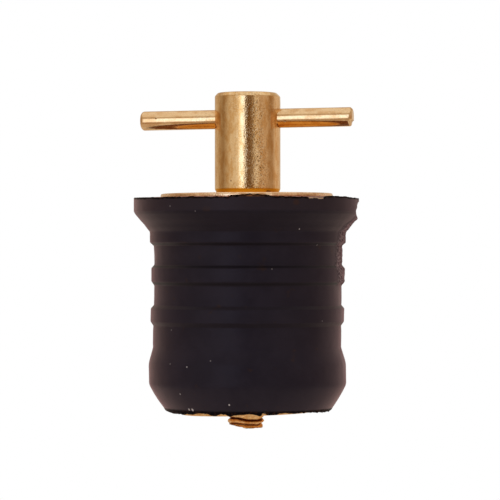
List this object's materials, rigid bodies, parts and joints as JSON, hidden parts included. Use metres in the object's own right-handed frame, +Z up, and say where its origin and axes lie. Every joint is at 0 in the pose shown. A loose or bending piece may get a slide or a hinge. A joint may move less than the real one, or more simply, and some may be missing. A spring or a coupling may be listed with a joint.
{
  "type": "boat drain plug",
  "caption": "Expanding drain plug: a ribbed rubber body with a flange, a brass T handle and stud, a washer above and a threaded plate below.",
  "frame": {"origin": "on the plug's axis at the rim of the drain hole, where the flange's cone lands", "axes": "+Z up along the stud, out of the hole towards the handle; +X along the cross bar"},
  "size_m": [0.0361, 0.0364, 0.0534],
  "materials": {
    "handle_brass": "drawn and turned brass, lightly pitted and tarnished",
    "sheet_brass": "stamped brass, dull",
    "stud_brass": "threaded brass rod, worn at its snipped end",
    "rubber": "moulded black rubber, satin, dusty, with a brown cast"
  },
  "bodies": {
    "plug": {"rubber_plug": "rubber", "top_washer": "sheet_brass"},
    "handle": {"handle_hub": "handle_brass", "cross_bar": "handle_brass", "threaded_stud": "stud_brass"},
    "plate": {"bottom_plate": "sheet_brass"}
  },
  "joints": [
    {"name": "plate_rise", "type": "slide", "parent": "plug", "child": "plate", "axis": [0, 0, 1], "range_m": [0, 0.00375], "deforming": ["rubber_plug"]},
    {"name": "handle_turn", "type": "hinge", "parent": "plug", "child": "handle", "pos_m": [0, 0, 0], "axis": [0, 0, 1], "range_deg": [-1350, 0]}
  ],
  "couplings": [
    {"joint": "handle_turn", "follows": "plate_rise", "rad_per_m": -6283.2}
  ]
}
